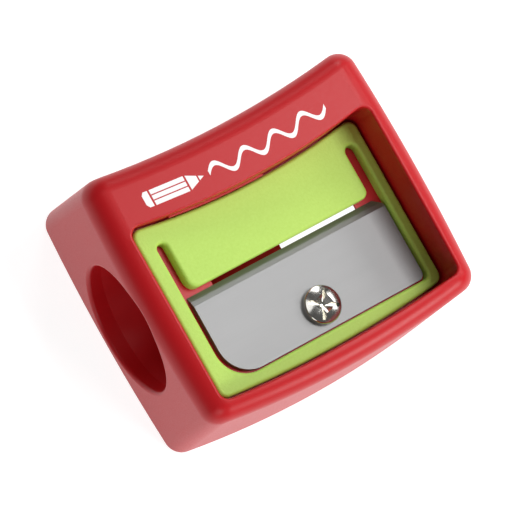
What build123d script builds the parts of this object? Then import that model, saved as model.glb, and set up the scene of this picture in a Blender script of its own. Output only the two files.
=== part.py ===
"""Single-hole sharpener for thick pencils and crayons: housing, blade frame, blade and screw.

The sharpener lies on its back. +X runs along the pencil from the mouth to the tip, +Z points out of
the blade side, and the origin is at the bottom centre of the housing.
"""

import math
import os

from build123d import *

# ---- driving dimensions (mm) ----
LENGTH = 40.4            # along the pencil axis, over the crowned ends
WIDTH = 35.1             # across
HEIGHT = 21.2            # back to front face
ARCH = 1.65              # both long sides bow towards -Y by this much
TOP_CORNER_RISE = 0.55   # sharp top corners stand this far above half the width
END_CROWN = 0.55         # the end faces bulge outwards by this much
DRAFT = 1.8              # degrees, the housing narrows from its back to its front
END_ROLL_RADIUS = 3.1    # front edge at the two ends
CORNER_RADIUS = 2.3      # upright corners, and front edge along the two long sides
BACK_EDGE_RADIUS = 0.6

SEAT_TILT = 8.85         # degrees, the blade seat falls towards the tip
SEAT_HEIGHT = 15.87      # seat above the back, at x = 0

BORE_HEIGHT = 10.0       # pencil axis above the back
MOUTH_RADIUS = 8.5
MOUTH_END_X = -18.0      # the straight mouth stops here and the guide starts to taper
MOUTH_RIM_RADIUS = 0.45
TAPER_JOIN_X = -12.0     # from here on the guide's top line is parallel to the seat
GUIDE_WALL = 0.3         # plastic between the guide and the seat
GUIDE_TUBE_WALL = 1.8
GUIDE_TUBE_END_X = 4.0   # the tube stops here and leaves the tip free
GUIDE_END_X = 13.5

WINDOW_X = (-16.6, 17.2)
WINDOW_TOP_Y = (9.8, 8.35)      # at the ends, in the middle
WINDOW_LOW_Y = (-13.4, -14.3)   # at the ends, in the middle
WINDOW_CORNER_RADIUS = 1.2
WINDOW_RIM_RADIUS = 0.28
LIP_X = (-11.1, 2.4)     # lip under the top rim that holds the blade frame down
LIP_DEPTH = 0.22
LIP_HEIGHT = 0.6
LIP_CLEARANCE = 0.06

CHUTE_X = (-9.7, 11.9)   # slot through the seat for the shavings
CHUTE_Y = (-1.2, 2.4)

SHELL_WALL = 2.2
ROOF_WALL = 1.6
PRINT_CORE_Y = 11.4      # the pocket behind the top band starts here
PRINT_CORE_HEIGHT = 19.2
RIB_X = -6.5             # cross rib behind the guide tube
RIB_THICKNESS = 1.2

FRAME_GAP = 0.25         # all round, inside the window
FRAME_THICKNESS = 1.55
FRAME_EDGE_RADIUS = 0.42
SLOT_LEFT_X = (-14.45, -13.1)
SLOT_RIGHT_X = (13.65, 15.35)
SLOT_TOP_Y = 6.6
TONGUE_EDGE_Y = 0.0
FRAME_OPENING_LOW_Y = -12.1

BLADE_X = (-13.6, 15.1)
BLADE_SPINE_Y = -11.9
CUTTING_EDGE_Y = -0.57
BLADE_THICKNESS = 0.8
BLADE_ROUND_RADIUS = 4.1
BLADE_CORNER_RADIUS = 0.9
TIP_CLIP = 0.9           # the cutting edge's corner is ground off at the tip
BEVEL_WIDTH = 1.3
EDGE_FACET_WIDTH = 0.69  # the bevel has two facets, this one carries the cutting edge
EDGE_FACET_HEIGHT = 0.5
EDGE_LAND = 0.05         # flat left on the cutting edge

SCREW_X = 0.95
SCREW_Y = -8.9
HEAD_RADIUS = 2.42
HEAD_SIDE_HEIGHT = 0.8
HEAD_HEIGHT = 1.4
HEAD_EDGE_RADIUS = 0.22
HEAD_LIFT = 0.02         # head above the blade
RECESS_TURN = -30        # degrees, the cross against the seat's own x
WING_LENGTH = 4.3        # tip to tip
WING_WIDTH = 0.7
WING_DEPTH = 0.95        # below the top of the dome, like the pit's
WING_TAPER = 19          # degrees
PIT_SIDE = 2.3           # square pit between the wings, its corners run into them
PIT_DEPTH = 1.15
PIT_TAPER = 42           # degrees
NECK_RADIUS = 1.5        # plain stretch inside the blade
THREAD_RADIUS = 1.45
ROOT_RADIUS = 1.15
THREAD_PITCH = 0.9
THREAD_COUNT = 7
SCREW_TIP_LENGTH = 0.6
BLADE_HOLE_RADIUS = 1.56
PILOT_RADIUS = 1.5
PILOT_DEPTH = 8.6
BOSS_RADIUS = 3.0
BOSS_DEPTH = 9.8

half_length = LENGTH / 2
half_width = WIDTH / 2
corner_x = half_length - END_CROWN
corner_y = half_width + TOP_CORNER_RISE
slope = math.tan(math.radians(SEAT_TILT))
stretch = 1 / math.cos(math.radians(SEAT_TILT))   # length along the seat for each mm of x

# The blade seat: its own x runs down towards the tip, its own z stands square to it.
seat_plane = Plane((0, 0, SEAT_HEIGHT)).rotated((0, SEAT_TILT, 0))
seat_axis = Axis(seat_plane.origin, seat_plane.z_dir)
pencil_axis = Axis((0, 0, BORE_HEIGHT), (1, 0, 0))


def seat_point(x, y, height=0.0):
    """A point over the seat, given by its x and y in the housing and its height above the seat."""
    return seat_plane.from_local_coords((x * stretch, y, height))


def guide_radius(x):
    """Radius of the tapered pencil guide, whose top line runs parallel to the seat."""
    return SEAT_HEIGHT - slope * x - GUIDE_WALL - BORE_HEIGHT


def draw_housing_outline(inset=0.0):
    """Plan outline at the back: two arched long sides and two crowned ends."""
    end_x = corner_x - inset
    low_y = ARCH - half_width + inset
    top_y = corner_y - inset
    low = ThreePointArc((-end_x, low_y), (0, low_y - ARCH), (end_x, low_y))
    top = ThreePointArc((end_x, top_y), (0, top_y - ARCH), (-end_x, top_y))
    ThreePointArc(low @ 1, (end_x + END_CROWN, 0), top @ 0)
    ThreePointArc(top @ 1, (-end_x - END_CROWN, 0), low @ 0)


def draw_window_outline(inset=0.0):
    """Plan outline of the window, whose long edges follow the arch of the housing."""
    left_x = WINDOW_X[0] + inset
    right_x = WINDOW_X[1] - inset
    mid_x = (left_x + right_x) / 2
    low_end, low_mid = (y + inset for y in WINDOW_LOW_Y)
    top_end, top_mid = (y - inset for y in WINDOW_TOP_Y)
    low = ThreePointArc((left_x, low_end), (mid_x, low_mid), (right_x, low_end))
    top = ThreePointArc((right_x, top_end), (mid_x, top_mid), (left_x, top_end))
    Line(low @ 1, top @ 0)
    Line(top @ 1, low @ 0)


# ---- spaces inside the housing ----
with BuildPart() as window_space:
    with BuildSketch():
        with BuildLine():
            draw_window_outline()
        make_face()
        fillet(vertices(), WINDOW_CORNER_RADIUS)
    extrude(amount=HEIGHT + 1)
    split(bisect_by=seat_plane, keep=Keep.TOP)

with BuildPart() as lip:
    with BuildSketch():
        with BuildLine():
            draw_window_outline()
        make_face()
        with BuildLine(mode=Mode.PRIVATE) as inner_line:
            draw_window_outline(LIP_DEPTH)
        make_face(inner_line.edges(), mode=Mode.SUBTRACT)
        with Locations(((LIP_X[0] + LIP_X[1]) / 2, WINDOW_TOP_Y[1])):
            Rectangle(LIP_X[1] - LIP_X[0], 6, mode=Mode.INTERSECT)
    extrude(amount=HEIGHT)
    split(bisect_by=seat_plane.offset(FRAME_THICKNESS + LIP_CLEARANCE), keep=Keep.TOP)
    split(bisect_by=seat_plane.offset(FRAME_THICKNESS + LIP_CLEARANCE + LIP_HEIGHT), keep=Keep.BOTTOM)

with BuildPart() as guide_space:
    with BuildSketch(Plane.XZ):
        with BuildLine():
            Polyline(
                (GUIDE_END_X, BORE_HEIGHT),
                (-half_length - 1, BORE_HEIGHT),
                (-half_length - 1, BORE_HEIGHT + MOUTH_RADIUS),
                (MOUTH_END_X, BORE_HEIGHT + MOUTH_RADIUS),
                (TAPER_JOIN_X, BORE_HEIGHT + guide_radius(TAPER_JOIN_X)),
                (GUIDE_END_X, BORE_HEIGHT + guide_radius(GUIDE_END_X)),
                close=True,
            )
        make_face()
    revolve(axis=pencil_axis)

with BuildPart() as guide_tube:
    with BuildSketch(Plane.XZ):
        with BuildLine():
            Polyline(
                (-half_length, BORE_HEIGHT),
                (-half_length, BORE_HEIGHT + MOUTH_RADIUS + GUIDE_TUBE_WALL),
                (MOUTH_END_X, BORE_HEIGHT + MOUTH_RADIUS + GUIDE_TUBE_WALL),
                (GUIDE_TUBE_END_X, BORE_HEIGHT + guide_radius(GUIDE_TUBE_END_X) + GUIDE_TUBE_WALL),
                (GUIDE_TUBE_END_X, BORE_HEIGHT),
                close=True,
            )
        make_face()
    revolve(axis=pencil_axis)

with BuildPart() as core_space:
    with BuildSketch():
        with BuildLine():
            draw_housing_outline(SHELL_WALL)
        make_face()
    extrude(amount=HEIGHT)
    split(bisect_by=seat_plane.offset(-ROOF_WALL), keep=Keep.BOTTOM)
    with BuildSketch():
        with BuildLine():
            draw_housing_outline(SHELL_WALL)
        make_face()
        with Locations((0, PRINT_CORE_Y + WIDTH / 2)):
            Rectangle(LENGTH, WIDTH, mode=Mode.INTERSECT)
    extrude(amount=PRINT_CORE_HEIGHT)
    add(guide_tube.part, mode=Mode.SUBTRACT)
    with BuildSketch(Plane(seat_point(SCREW_X, SCREW_Y), z_dir=seat_plane.z_dir)):
        Circle(BOSS_RADIUS)
    extrude(amount=-BOSS_DEPTH, mode=Mode.SUBTRACT)
    with BuildSketch():
        with Locations((RIB_X, 0)):
            Rectangle(RIB_THICKNESS, WIDTH)
        with Locations((SCREW_X, SCREW_Y - WIDTH / 4)):
            Rectangle(RIB_THICKNESS, WIDTH / 2)
    extrude(amount=HEIGHT, mode=Mode.SUBTRACT)

# ---- housing ----
# One injection moulding, cored out from its back. The guide tube, the seat and the screw boss are
# part of it.
with BuildPart() as housing:
    with BuildSketch():
        with BuildLine():
            draw_housing_outline()
        make_face()
    extrude(amount=HEIGHT, taper=DRAFT)
    end_edges = housing.faces().sort_by(Axis.Z)[-1].edges().sort_by(Axis.X)
    fillet([end_edges[0], end_edges[-1]], END_ROLL_RADIUS)
    side_edges = housing.faces().filter_by(Axis.Z).sort_by(Axis.Z)[-1].edges().sort_by(Axis.Y)
    uprights = [edge for edge in housing.edges() if edge.bounding_box().size.Z > HEIGHT / 2]
    fillet([side_edges[0], side_edges[-1]] + uprights, CORNER_RADIUS)
    fillet(housing.faces().filter_by(Axis.Z).sort_by(Axis.Z)[0].edges(), BACK_EDGE_RADIUS)
    add(guide_space.part, mode=Mode.SUBTRACT)
    mouth_rim = [edge for edge in housing.edges(Select.LAST) if edge.bounding_box().max.X < MOUTH_END_X - 0.5]
    fillet(mouth_rim, MOUTH_RIM_RADIUS)
    add(window_space.part, mode=Mode.SUBTRACT)
    rim = [edge for edge in housing.edges(Select.LAST) if edge.bounding_box().min.Z > HEIGHT - 0.6]
    fillet(rim, WINDOW_RIM_RADIUS)
    add(lip.part)
    with BuildSketch(seat_plane):
        with Locations((sum(CHUTE_X) / 2 * stretch, sum(CHUTE_Y) / 2)):
            Rectangle((CHUTE_X[1] - CHUTE_X[0]) * stretch, CHUTE_Y[1] - CHUTE_Y[0])
    extrude(amount=-guide_radius(CHUTE_X[1]), mode=Mode.SUBTRACT)
    add(core_space.part, mode=Mode.SUBTRACT)
    with BuildSketch(Plane(seat_point(SCREW_X, SCREW_Y), z_dir=seat_plane.z_dir)):
        Circle(PILOT_RADIUS)
    extrude(amount=-PILOT_DEPTH, mode=Mode.SUBTRACT)

# ---- blade frame ----
# A second moulding in another colour. It lies on the seat round the blade, and its tongue hangs
# between two slots over the place where the shavings come out.
with BuildPart() as blade_frame:
    with BuildSketch():
        with BuildLine():
            draw_window_outline(FRAME_GAP)
        make_face()
        fillet(vertices(), WINDOW_CORNER_RADIUS)
    extrude(amount=HEIGHT)
    split(bisect_by=seat_plane, keep=Keep.TOP)
    split(bisect_by=seat_plane.offset(FRAME_THICKNESS), keep=Keep.BOTTOM)
    with BuildSketch(seat_plane):
        left, slot_left = (x * stretch for x in SLOT_LEFT_X)
        slot_right, right = (x * stretch for x in SLOT_RIGHT_X)
        corners = [
            (left, FRAME_OPENING_LOW_Y, BLADE_ROUND_RADIUS),
            (left, SLOT_TOP_Y, (slot_left - left) * 0.49),
            (slot_left, SLOT_TOP_Y, (slot_left - left) * 0.49),
            (slot_left, TONGUE_EDGE_Y, 1.3),
            (slot_right, TONGUE_EDGE_Y, 1.0),
            (slot_right, SLOT_TOP_Y, (right - slot_right) * 0.49),
            (right, SLOT_TOP_Y, (right - slot_right) * 0.49),
            (right, FRAME_OPENING_LOW_Y, 0.7),
        ]
        with BuildLine():
            Polyline([(x, y) for x, y, radius in corners], close=True)
        make_face()
        for x, y, radius in corners:
            fillet(vertices().sort_by_distance((x, y))[0], radius)
    extrude(amount=FRAME_THICKNESS * 2, both=True, mode=Mode.SUBTRACT)
    top_face = blade_frame.faces().filter_by(seat_axis).sort_by(seat_axis)[-1]
    fillet(top_face.edges(), FRAME_EDGE_RADIUS)

# ---- blade ----
# Hardened steel strip, stamped, ground on one long edge and polished.
with BuildPart() as blade:
    with BuildSketch(seat_plane):
        back_x, tip_x = (x * stretch for x in BLADE_X)
        with BuildLine():
            Polyline(
                (back_x, CUTTING_EDGE_Y),
                (tip_x - TIP_CLIP, CUTTING_EDGE_Y),
                (tip_x, CUTTING_EDGE_Y - TIP_CLIP),
                (tip_x, BLADE_SPINE_Y),
                (back_x, BLADE_SPINE_Y),
                close=True,
            )
        make_face()
        fillet(vertices().sort_by_distance((back_x, BLADE_SPINE_Y))[0], BLADE_ROUND_RADIUS)
        fillet(vertices().sort_by_distance((tip_x, BLADE_SPINE_Y))[0], BLADE_CORNER_RADIUS)
        with Locations((SCREW_X * stretch, SCREW_Y)):
            Circle(BLADE_HOLE_RADIUS, mode=Mode.SUBTRACT)
    extrude(amount=BLADE_THICKNESS)
    bevel_plane = Plane(seat_point(BLADE_X[0] - 1, CUTTING_EDGE_Y), x_dir=(0, 1, 0), z_dir=seat_plane.x_dir)
    with BuildSketch(bevel_plane):
        with BuildLine():
            Polyline(
                (-BEVEL_WIDTH, BLADE_THICKNESS),
                (-EDGE_FACET_WIDTH, EDGE_FACET_HEIGHT),
                (0, EDGE_LAND),
                (1, EDGE_LAND),
                (1, BLADE_THICKNESS + 1),
                (-BEVEL_WIDTH, BLADE_THICKNESS + 1),
                close=True,
            )
        make_face()
    extrude(amount=LENGTH, mode=Mode.SUBTRACT)

# ---- screw ----
# Nickel-plated cheese-head screw with a cross recess. The thread is a stack of rings, not a helix.
with BuildPart() as screw:
    head_base = BLADE_THICKNESS + HEAD_LIFT
    thread_end = -THREAD_PITCH * THREAD_COUNT
    dome_rise = HEAD_HEIGHT - HEAD_SIDE_HEIGHT
    dome_radius = (HEAD_RADIUS**2 + dome_rise**2) / (2 * dome_rise)
    screw_plane = Plane(seat_point(SCREW_X, SCREW_Y), x_dir=(0, 1, 0), z_dir=seat_plane.x_dir)
    screw_axis = Axis(screw_plane.origin, seat_plane.z_dir)
    with BuildSketch(screw_plane):
        with BuildLine():
            Line((0, thread_end - SCREW_TIP_LENGTH), (ROOT_RADIUS, thread_end))
            for turn in range(THREAD_COUNT):
                foot = thread_end + turn * THREAD_PITCH
                Polyline(
                    (ROOT_RADIUS, foot),
                    (THREAD_RADIUS, foot + THREAD_PITCH * 0.4),
                    (ROOT_RADIUS, foot + THREAD_PITCH * 0.8),
                    (ROOT_RADIUS, foot + THREAD_PITCH),
                )
            Polyline(
                (ROOT_RADIUS, 0),
                (NECK_RADIUS, NECK_RADIUS - ROOT_RADIUS),
                (NECK_RADIUS, head_base),
                (HEAD_RADIUS, head_base),
                (HEAD_RADIUS, head_base + HEAD_SIDE_HEIGHT),
            )
            RadiusArc((HEAD_RADIUS, head_base + HEAD_SIDE_HEIGHT), (0, head_base + HEAD_HEIGHT), -dome_radius)
            Line((0, head_base + HEAD_HEIGHT), (0, thread_end - SCREW_TIP_LENGTH))
        make_face()
    revolve(axis=screw_axis)
    circles = screw.edges().filter_by(GeomType.CIRCLE).sort_by(screw_axis)
    head_edge = [edge for edge in circles if abs(edge.radius - HEAD_RADIUS) < 0.01][-1]
    fillet(head_edge, HEAD_EDGE_RADIUS)
    dome_top = seat_point(SCREW_X, SCREW_Y, head_base + HEAD_HEIGHT)
    with BuildSketch(Plane(dome_top, z_dir=seat_plane.z_dir)):
        Rectangle(WING_LENGTH, WING_WIDTH, rotation=RECESS_TURN)
        Rectangle(WING_WIDTH, WING_LENGTH, rotation=RECESS_TURN)
    extrude(amount=-WING_DEPTH, taper=WING_TAPER, mode=Mode.SUBTRACT)
    with BuildSketch(Plane(dome_top, z_dir=seat_plane.z_dir)):
        Rectangle(PIT_SIDE, PIT_SIDE, rotation=RECESS_TURN + 45)
    extrude(amount=-PIT_DEPTH, taper=PIT_TAPER, mode=Mode.SUBTRACT)

os.makedirs("parts", exist_ok=True)
pieces = {"housing": housing, "blade_frame": blade_frame, "blade": blade, "screw": screw}
for name, piece in pieces.items():
    piece.part.label = name
    export_step(piece.part, f"parts/{name}.step")
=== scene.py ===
import math

import bpy
from mathutils import Matrix, Vector


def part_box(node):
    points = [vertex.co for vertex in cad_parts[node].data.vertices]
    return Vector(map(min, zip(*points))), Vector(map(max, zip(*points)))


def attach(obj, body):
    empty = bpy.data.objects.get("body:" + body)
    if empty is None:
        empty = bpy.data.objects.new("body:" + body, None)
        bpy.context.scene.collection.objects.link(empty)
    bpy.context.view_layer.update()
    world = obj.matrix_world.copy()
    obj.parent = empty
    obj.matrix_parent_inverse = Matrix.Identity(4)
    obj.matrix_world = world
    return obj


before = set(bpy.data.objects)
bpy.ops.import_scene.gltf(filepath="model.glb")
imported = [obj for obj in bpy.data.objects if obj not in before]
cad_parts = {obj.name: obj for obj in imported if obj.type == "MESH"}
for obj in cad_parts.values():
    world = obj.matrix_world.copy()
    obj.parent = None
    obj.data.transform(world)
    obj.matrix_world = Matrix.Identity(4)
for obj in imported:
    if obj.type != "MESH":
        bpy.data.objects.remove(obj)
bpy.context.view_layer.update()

# ---- housing ----
# The body is one injection moulding in red ABS, cored out from its back. Its mould was fine-blasted,
# so the skin is satin: it takes a soft sheen on the flats and a paler line along each rounded edge.


def mm(length):
    """Millimetres to metres."""
    return length / 1000


def colour(code):
    """A colour written as sRGB hex, as the linear value that a shader takes."""
    levels = [int(code[i : i + 2], 16) / 255 for i in (1, 3, 5)]
    linear = [v / 12.92 if v <= 0.04045 else ((v + 0.055) / 1.055) ** 2.4 for v in levels]
    return (*linear, 1.0)


def add(tree, kind, settings=None, **inputs):
    """Adds a node. settings are its attributes; inputs are values, or sockets to link, by socket name."""
    node = tree.nodes.new(kind)
    for name, value in (settings or {}).items():
        setattr(node, name, value)
    for name, value in inputs.items():
        socket = node.inputs[int(name[1:])] if name[0] == "_" else node.inputs[name.replace("_", " ")]
        if isinstance(value, bpy.types.NodeSocket):
            tree.links.new(value, socket)
        else:
            socket.default_value = value
    return node


def new_material(name):
    """An empty node material and its tree."""
    material = bpy.data.materials.new(name)
    material.use_nodes = True
    material.node_tree.nodes.clear()
    return material, material.node_tree


def satin_red_abs():
    """Red ABS from a fine-blasted mould: even colour, soft gloss, and a grain of about a sixth of a mm.

    The specular level is below the plastic's own, so that the upright sides keep their full red.
    """
    material, tree = new_material("satin_red_abs")
    place = add(tree, "ShaderNodeTexCoord").outputs["Object"]
    cloud = add(tree, "ShaderNodeTexNoise", Vector=place, Scale=1 / mm(9), Detail=3.0)
    grain = add(tree, "ShaderNodeTexNoise", Vector=place, Scale=1 / mm(0.16), Detail=2.0, Roughness=0.6)
    tone = add(
        tree,
        "ShaderNodeMix",
        {"data_type": "RGBA"},
        _0=cloud.outputs["Fac"],
        _6=colour("#BE131B"),
        _7=colour("#BA1219"),
    )
    shine = add(tree, "ShaderNodeMapRange", Value=grain.outputs["Fac"], From_Min=0.3, From_Max=0.7)
    shine.inputs["To Min"].default_value = 0.34
    shine.inputs["To Max"].default_value = 0.44
    relief = add(tree, "ShaderNodeBump", Height=grain.outputs["Fac"], Distance=mm(0.012), Strength=0.5)
    skin = add(
        tree,
        "ShaderNodeBsdfPrincipled",
        Base_Color=tone.outputs[2],
        Roughness=shine.outputs["Result"],
        IOR=1.53,
        Specular_IOR_Level=0.3,
        Normal=relief.outputs["Normal"],
    )
    add(tree, "ShaderNodeOutputMaterial", Surface=skin.outputs["BSDF"])
    return material


def finish_node(node, material):
    """Gives a CAD node its material."""
    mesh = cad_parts[node].data
    mesh.materials.clear()
    mesh.materials.append(material)


finish_node("housing", satin_red_abs())

# ---- printed mark ----
# White ink, pad printed on the flat band over the window: a plain pencil that draws a wavy line.
# The line and the pencil follow the arch of the housing.


def white_pad_ink():
    """White printing ink: opaque and slightly chalky, a trace darker in spots half a mm across."""
    material, tree = new_material("white_pad_ink")
    place = add(tree, "ShaderNodeTexCoord").outputs["Object"]
    spots = add(tree, "ShaderNodeTexNoise", Vector=place, Scale=1 / mm(0.5), Detail=3.0)
    tone = add(
        tree,
        "ShaderNodeMix",
        {"data_type": "RGBA"},
        _0=spots.outputs["Fac"],
        _6=colour("#F6F0EF"),
        _7=colour("#FFFFFF"),
    )
    skin = add(tree, "ShaderNodeBsdfPrincipled", Base_Color=tone.outputs[2], Roughness=0.5, IOR=1.5)
    add(tree, "ShaderNodeOutputMaterial", Surface=skin.outputs["BSDF"])
    return material


def grow(name, shapes, tree, sizes):
    """Runs a node tree with its named sizes on flat shapes and keeps the plain mesh that comes out."""
    seed_mesh = bpy.data.meshes.new(name)
    points = [(mm(x), mm(y), 0) for shape in shapes for x, y in shape]
    faces, start = [], 0
    for shape in shapes:
        faces.append(tuple(range(start, start + len(shape))))
        start += len(shape)
    seed_mesh.from_pydata(points, [], faces)
    piece = bpy.data.objects.new(name, seed_mesh)
    bpy.context.scene.collection.objects.link(piece)
    modifier = piece.modifiers.new(name, "NODES")
    modifier.node_group = tree
    for item in tree.interface.items_tree:
        if item.in_out == "INPUT" and item.name in sizes:
            modifier[item.identifier] = sizes[item.name]
    ready = piece.evaluated_get(bpy.context.evaluated_depsgraph_get())
    result = bpy.data.meshes.new_from_object(ready)
    piece.modifiers.remove(modifier)
    piece.data = result
    return piece


LINE_STEPS = 192  # 48 for each wave
mark_sizes = {
    "Line Length": mm(16.8),
    "Line Width": mm(0.62),
    "Line Middle": mm(3.9),
    "Wave Length": mm(4.2),
    "Wave Height": mm(0.85),
    "Bow": 0.0046 / mm(1),
    "Band": mm(11.05),
    "Top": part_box("housing")[1].z,
    "Ink": mm(0.012),
}


def printed_line(ink):
    """Adds a wavy ribbon to the flat shapes, bends both along the arch, and makes them as thick as ink."""
    tree = bpy.data.node_groups.new("printed_line", "GeometryNodeTree")
    tree.interface.new_socket("Geometry", in_out="INPUT", socket_type="NodeSocketGeometry")
    for name in mark_sizes:
        tree.interface.new_socket(name, in_out="INPUT", socket_type="NodeSocketFloat")
    tree.interface.new_socket("Geometry", in_out="OUTPUT", socket_type="NodeSocketGeometry")

    def reckon(operation, *values):
        """Works out one number from others."""
        inputs = {f"_{index}": value for index, value in enumerate(values)}
        return add(tree, "ShaderNodeMath", {"operation": operation}, **inputs).outputs[0]

    size = add(tree, "NodeGroupInput").outputs
    position = add(tree, "GeometryNodeInputPosition").outputs["Position"]
    place = add(tree, "ShaderNodeSeparateXYZ", Vector=position)
    ribbon = add(
        tree,
        "GeometryNodeMeshGrid",
        Size_X=size["Line Length"],
        Size_Y=size["Line Width"],
        Vertices_X=LINE_STEPS + 1,
        Vertices_Y=2,
    )
    cycles = reckon("DIVIDE", place.outputs["X"], size["Wave Length"])
    sine = reckon("SINE", reckon("MULTIPLY", cycles, 2 * math.pi))
    swing = reckon("MULTIPLY", sine, size["Wave Height"])
    shift = add(tree, "ShaderNodeCombineXYZ", X=size["Line Middle"], Y=swing)
    wave = add(tree, "GeometryNodeSetPosition", Geometry=ribbon.outputs["Mesh"], Offset=shift.outputs[0])
    both = add(tree, "GeometryNodeJoinGeometry", Geometry=size["Geometry"])
    tree.links.new(wave.outputs["Geometry"], both.inputs["Geometry"])
    square = reckon("MULTIPLY", place.outputs["X"], place.outputs["X"])
    rise = reckon("MULTIPLY_ADD", square, size["Bow"], size["Band"])
    lift = add(tree, "ShaderNodeCombineXYZ", Y=rise, Z=size["Top"])
    bent = add(tree, "GeometryNodeSetPosition", Geometry=both.outputs[0], Offset=lift.outputs[0])
    layer = add(tree, "GeometryNodeExtrudeMesh", Mesh=bent.outputs["Geometry"], Offset_Scale=size["Ink"])
    layer.inputs["Individual"].default_value = False
    real = add(tree, "GeometryNodeRealizeInstances", Geometry=layer.outputs["Mesh"])
    inked = add(tree, "GeometryNodeSetMaterial", Geometry=real.outputs["Geometry"], Material=ink)
    add(tree, "NodeGroupOutput", Geometry=inked.outputs["Geometry"])
    return tree


pencil_shapes = [
    [(-12.9, -1.0), (-12.35, -1.0), (-12.35, 1.0), (-12.9, 1.0), (-13.2, 0.6), (-13.2, -0.6)],
    [(-12.1, -1.0), (-7.6, -1.0), (-7.6, -0.42), (-12.1, -0.42)],
    [(-12.1, -0.27), (-7.6, -0.27), (-7.6, 0.27), (-12.1, 0.27)],
    [(-12.1, 0.42), (-7.6, 0.42), (-7.6, 1.0), (-12.1, 1.0)],
    [(-7.35, -0.95), (-6.1, -0.38), (-6.1, 0.38), (-7.35, 0.95)],
    [(-5.9, -0.3), (-5.25, 0.0), (-5.9, 0.3)],
]
mark = grow("printed_mark", pencil_shapes, printed_line(white_pad_ink()), mark_sizes)
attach(mark, "housing")

# ---- blade frame ----
# The second moulding lies on the seat round the blade. It is lime polypropylene with a matte,
# spark-eroded skin, so the light spreads over it and its edges stay soft.


def matte_lime_polypropylene():
    """Lime polypropylene: a chalky, slightly waxy green with a spark-eroded grain of a third of a mm."""
    material, tree = new_material("matte_lime_polypropylene")
    place = add(tree, "ShaderNodeTexCoord").outputs["Object"]
    grain = add(tree, "ShaderNodeTexNoise", Vector=place, Scale=1 / mm(0.35), Detail=3.0, Roughness=0.7)
    tone = add(
        tree,
        "ShaderNodeMix",
        {"data_type": "RGBA"},
        _0=grain.outputs["Fac"],
        _6=colour("#A9CE4E"),
        _7=colour("#B9DD64"),
    )
    relief = add(tree, "ShaderNodeBump", Height=grain.outputs["Fac"], Distance=mm(0.04), Strength=0.8)
    skin = add(
        tree,
        "ShaderNodeBsdfPrincipled",
        Base_Color=tone.outputs[2],
        Roughness=0.55,
        IOR=1.49,
        Normal=relief.outputs["Normal"],
    )
    add(tree, "ShaderNodeOutputMaterial", Surface=skin.outputs["BSDF"])
    return material


finish_node("blade_frame", matte_lime_polypropylene())

# ---- blade ----
# A hardened steel strip, stamped to shape and ground to two facets along its cutting edge. Its flat
# is belt finished, and the screw holds it down on the seat.


SEAT_TILT = 8.85  # degrees, the blade falls towards its tip


def belt_finished_tool_steel():
    """Carbon steel off a fine belt: an even grey sheen, with faint scratches that run along the blade.

    The base grey is darker than steel's own, because the soft key is close to its mirror direction.
    """
    material, tree = new_material("belt_finished_tool_steel")
    place = add(tree, "ShaderNodeTexCoord").outputs["Object"]
    level = {"rotation_type": "Y_AXIS"}
    flat = add(tree, "ShaderNodeVectorRotate", level, Vector=place, Angle=math.radians(-SEAT_TILT))
    along = add(tree, "ShaderNodeMapping", Vector=flat.outputs["Vector"])
    along.inputs["Scale"].default_value = (1 / mm(8), 1 / mm(0.08), 1 / mm(2))
    scratch = add(tree, "ShaderNodeTexNoise", Vector=along.outputs["Vector"], Scale=1.0, Detail=4.0)
    shine = add(tree, "ShaderNodeMapRange", Value=scratch.outputs["Fac"], From_Min=0.3, From_Max=0.7)
    shine.inputs["To Min"].default_value = 0.5
    shine.inputs["To Max"].default_value = 0.53
    skin = add(
        tree,
        "ShaderNodeBsdfPrincipled",
        Base_Color=colour("#868686"),
        Metallic=1.0,
        Roughness=shine.outputs["Result"],
    )
    add(tree, "ShaderNodeOutputMaterial", Surface=skin.outputs["BSDF"])
    return material


finish_node("blade", belt_finished_tool_steel())

# ---- screw ----
# A small cheese-head screw with a pressed cross recess, nickel plated after pressing. It is driven
# through the blade into a boss in the housing.


def nickel_plate():
    """Bright nickel plating: a slightly soft mirror, a little warmer than the blade."""
    material, tree = new_material("nickel_plate")
    place = add(tree, "ShaderNodeTexCoord").outputs["Object"]
    cloud = add(tree, "ShaderNodeTexNoise", Vector=place, Scale=1 / mm(0.7), Detail=2.0)
    shine = add(tree, "ShaderNodeMapRange", Value=cloud.outputs["Fac"], From_Min=0.3, From_Max=0.7)
    shine.inputs["To Min"].default_value = 0.14
    shine.inputs["To Max"].default_value = 0.2
    skin = add(
        tree,
        "ShaderNodeBsdfPrincipled",
        Base_Color=colour("#DAD8D2"),
        Metallic=1.0,
        Roughness=shine.outputs["Result"],
    )
    add(tree, "ShaderNodeOutputMaterial", Surface=skin.outputs["BSDF"])
    return material


finish_node("screw", nickel_plate())

# ---- floor ----
# A white light table fills the sides. A small pad lies on it under the open back of the housing
# and shows white through the slot beside the blade.
FLOOR_REACH = 3.0  # metres, past every view
PAD_INSET = mm(2.6)
PAD_TOP = mm(0.05)


def stage_sheet(name, low_x, low_y, high_x, high_y, height, material):
    """A flat level rectangle that belongs to the setting and not to the sharpener."""
    mesh = bpy.data.meshes.new(name)
    corners = [
        (low_x, low_y, height),
        (high_x, low_y, height),
        (high_x, high_y, height),
        (low_x, high_y, height),
    ]
    mesh.from_pydata(corners, [], [(0, 1, 2, 3)])
    mesh.materials.append(material)
    sheet = bpy.data.objects.new(name, mesh)
    bpy.context.scene.collection.objects.link(sheet)


def white_light_table():
    """Opal acrylic lit from below: white all over, with only a faint shadow on it."""
    material, tree = new_material("white_light_table")
    glow = add(
        tree,
        "ShaderNodeBsdfPrincipled",
        Base_Color=colour("#A8A8A8"),
        Roughness=0.9,
        Emission_Color=colour("#FFFFFF"),
        Emission_Strength=0.85,
    )
    add(tree, "ShaderNodeOutputMaterial", Surface=glow.outputs["BSDF"])
    return material


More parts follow.
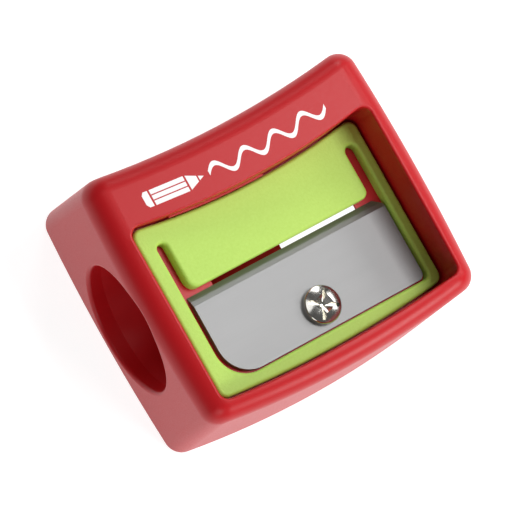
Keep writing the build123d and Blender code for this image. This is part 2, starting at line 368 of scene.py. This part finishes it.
def light_pad():
    """A plain white glow, a little over full white."""
    material, tree = new_material("light_pad")
    glow = add(tree, "ShaderNodeEmission", Color=colour("#FFFFFF"), Strength=1.1)
    add(tree, "ShaderNodeOutputMaterial", Surface=glow.outputs["Emission"])
    return material


stage_sheet("floor", -FLOOR_REACH, -FLOOR_REACH, FLOOR_REACH, FLOOR_REACH, 0, white_light_table())
low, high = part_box("housing")
stage_sheet(
    "light_pad",
    low.x + PAD_INSET,
    low.y + PAD_INSET,
    high.x - PAD_INSET,
    high.y - PAD_INSET,
    PAD_TOP,
    light_pad(),
)

# ---- light ----
# A soft key high over the tip end gives the sheen, a low strip beside it lights the screw's dome,
# and weaker panels fill the front, the back and the top of a dim white room.


LIGHT_DISTANCE = 0.3
LIGHT_AIM = Vector((0, 0, mm(12)))


def panel(name, direction, width, height, power):
    """A soft box that looks at the middle of the sharpener."""
    light = bpy.data.lights.new(name, "AREA")
    light.shape = "RECTANGLE"
    light.size = width
    light.size_y = height
    light.energy = power
    lamp = bpy.data.objects.new(name, light)
    away = Vector(direction).normalized()
    facing = away.to_track_quat("Z", "Y").to_matrix().to_4x4()
    lamp.matrix_world = Matrix.Translation(away * LIGHT_DISTANCE + LIGHT_AIM) @ facing
    bpy.context.scene.collection.objects.link(lamp)


panel("key", (0.46, -0.03, 0.888), 0.13, 0.13, 0.46)
panel("right_low", (0.86, -0.05, 0.5), 0.2, 0.08, 0.16)
panel("front", (0.34, -0.82, 0.46), 0.1, 0.08, 0.42)
panel("front_left", (-0.62, -0.62, 0.48), 0.12, 0.12, 0.16)
panel("back", (0.52, 0.73, 0.5), 0.1, 0.1, 0.2)
panel("top", (-0.16, 0.27, 0.95), 0.14, 0.14, 0.08)

world = bpy.data.worlds.new("white_room")
world.use_nodes = True
room = world.node_tree.nodes["Background"]
room.inputs["Color"].default_value = colour("#FFFFFF")
room.inputs["Strength"].default_value = 0.09
bpy.context.scene.world = world
bpy.context.scene.view_settings.view_transform = "Standard"

# ---- camera ----
# High over the mouth end with a long lens. It is rolled so that the sharpener's long sides rise to
# the right.
camera = bpy.data.cameras.new("camera")
camera.lens = 276.3
camera.sensor_width = 36
camera.clip_start = 0.01
camera_object = bpy.data.objects.new("camera", camera)
CAMERA_AIM = Vector((mm(-0.75), mm(-0.79), mm(10.6)))
CAMERA_AWAY = Vector((-0.30335, -0.04541, 0.95180))
CAMERA_DISTANCE = mm(489.8)
CAMERA_ROLL = math.radians(52.587)
turn = CAMERA_AWAY.to_track_quat("Z", "Y").to_matrix().to_4x4()
place = Matrix.Translation(CAMERA_AIM + CAMERA_AWAY * CAMERA_DISTANCE)
camera_object.matrix_world = place @ turn @ Matrix.Rotation(CAMERA_ROLL, 4, "Z")
bpy.context.scene.collection.objects.link(camera_object)
bpy.context.scene.camera = camera_object
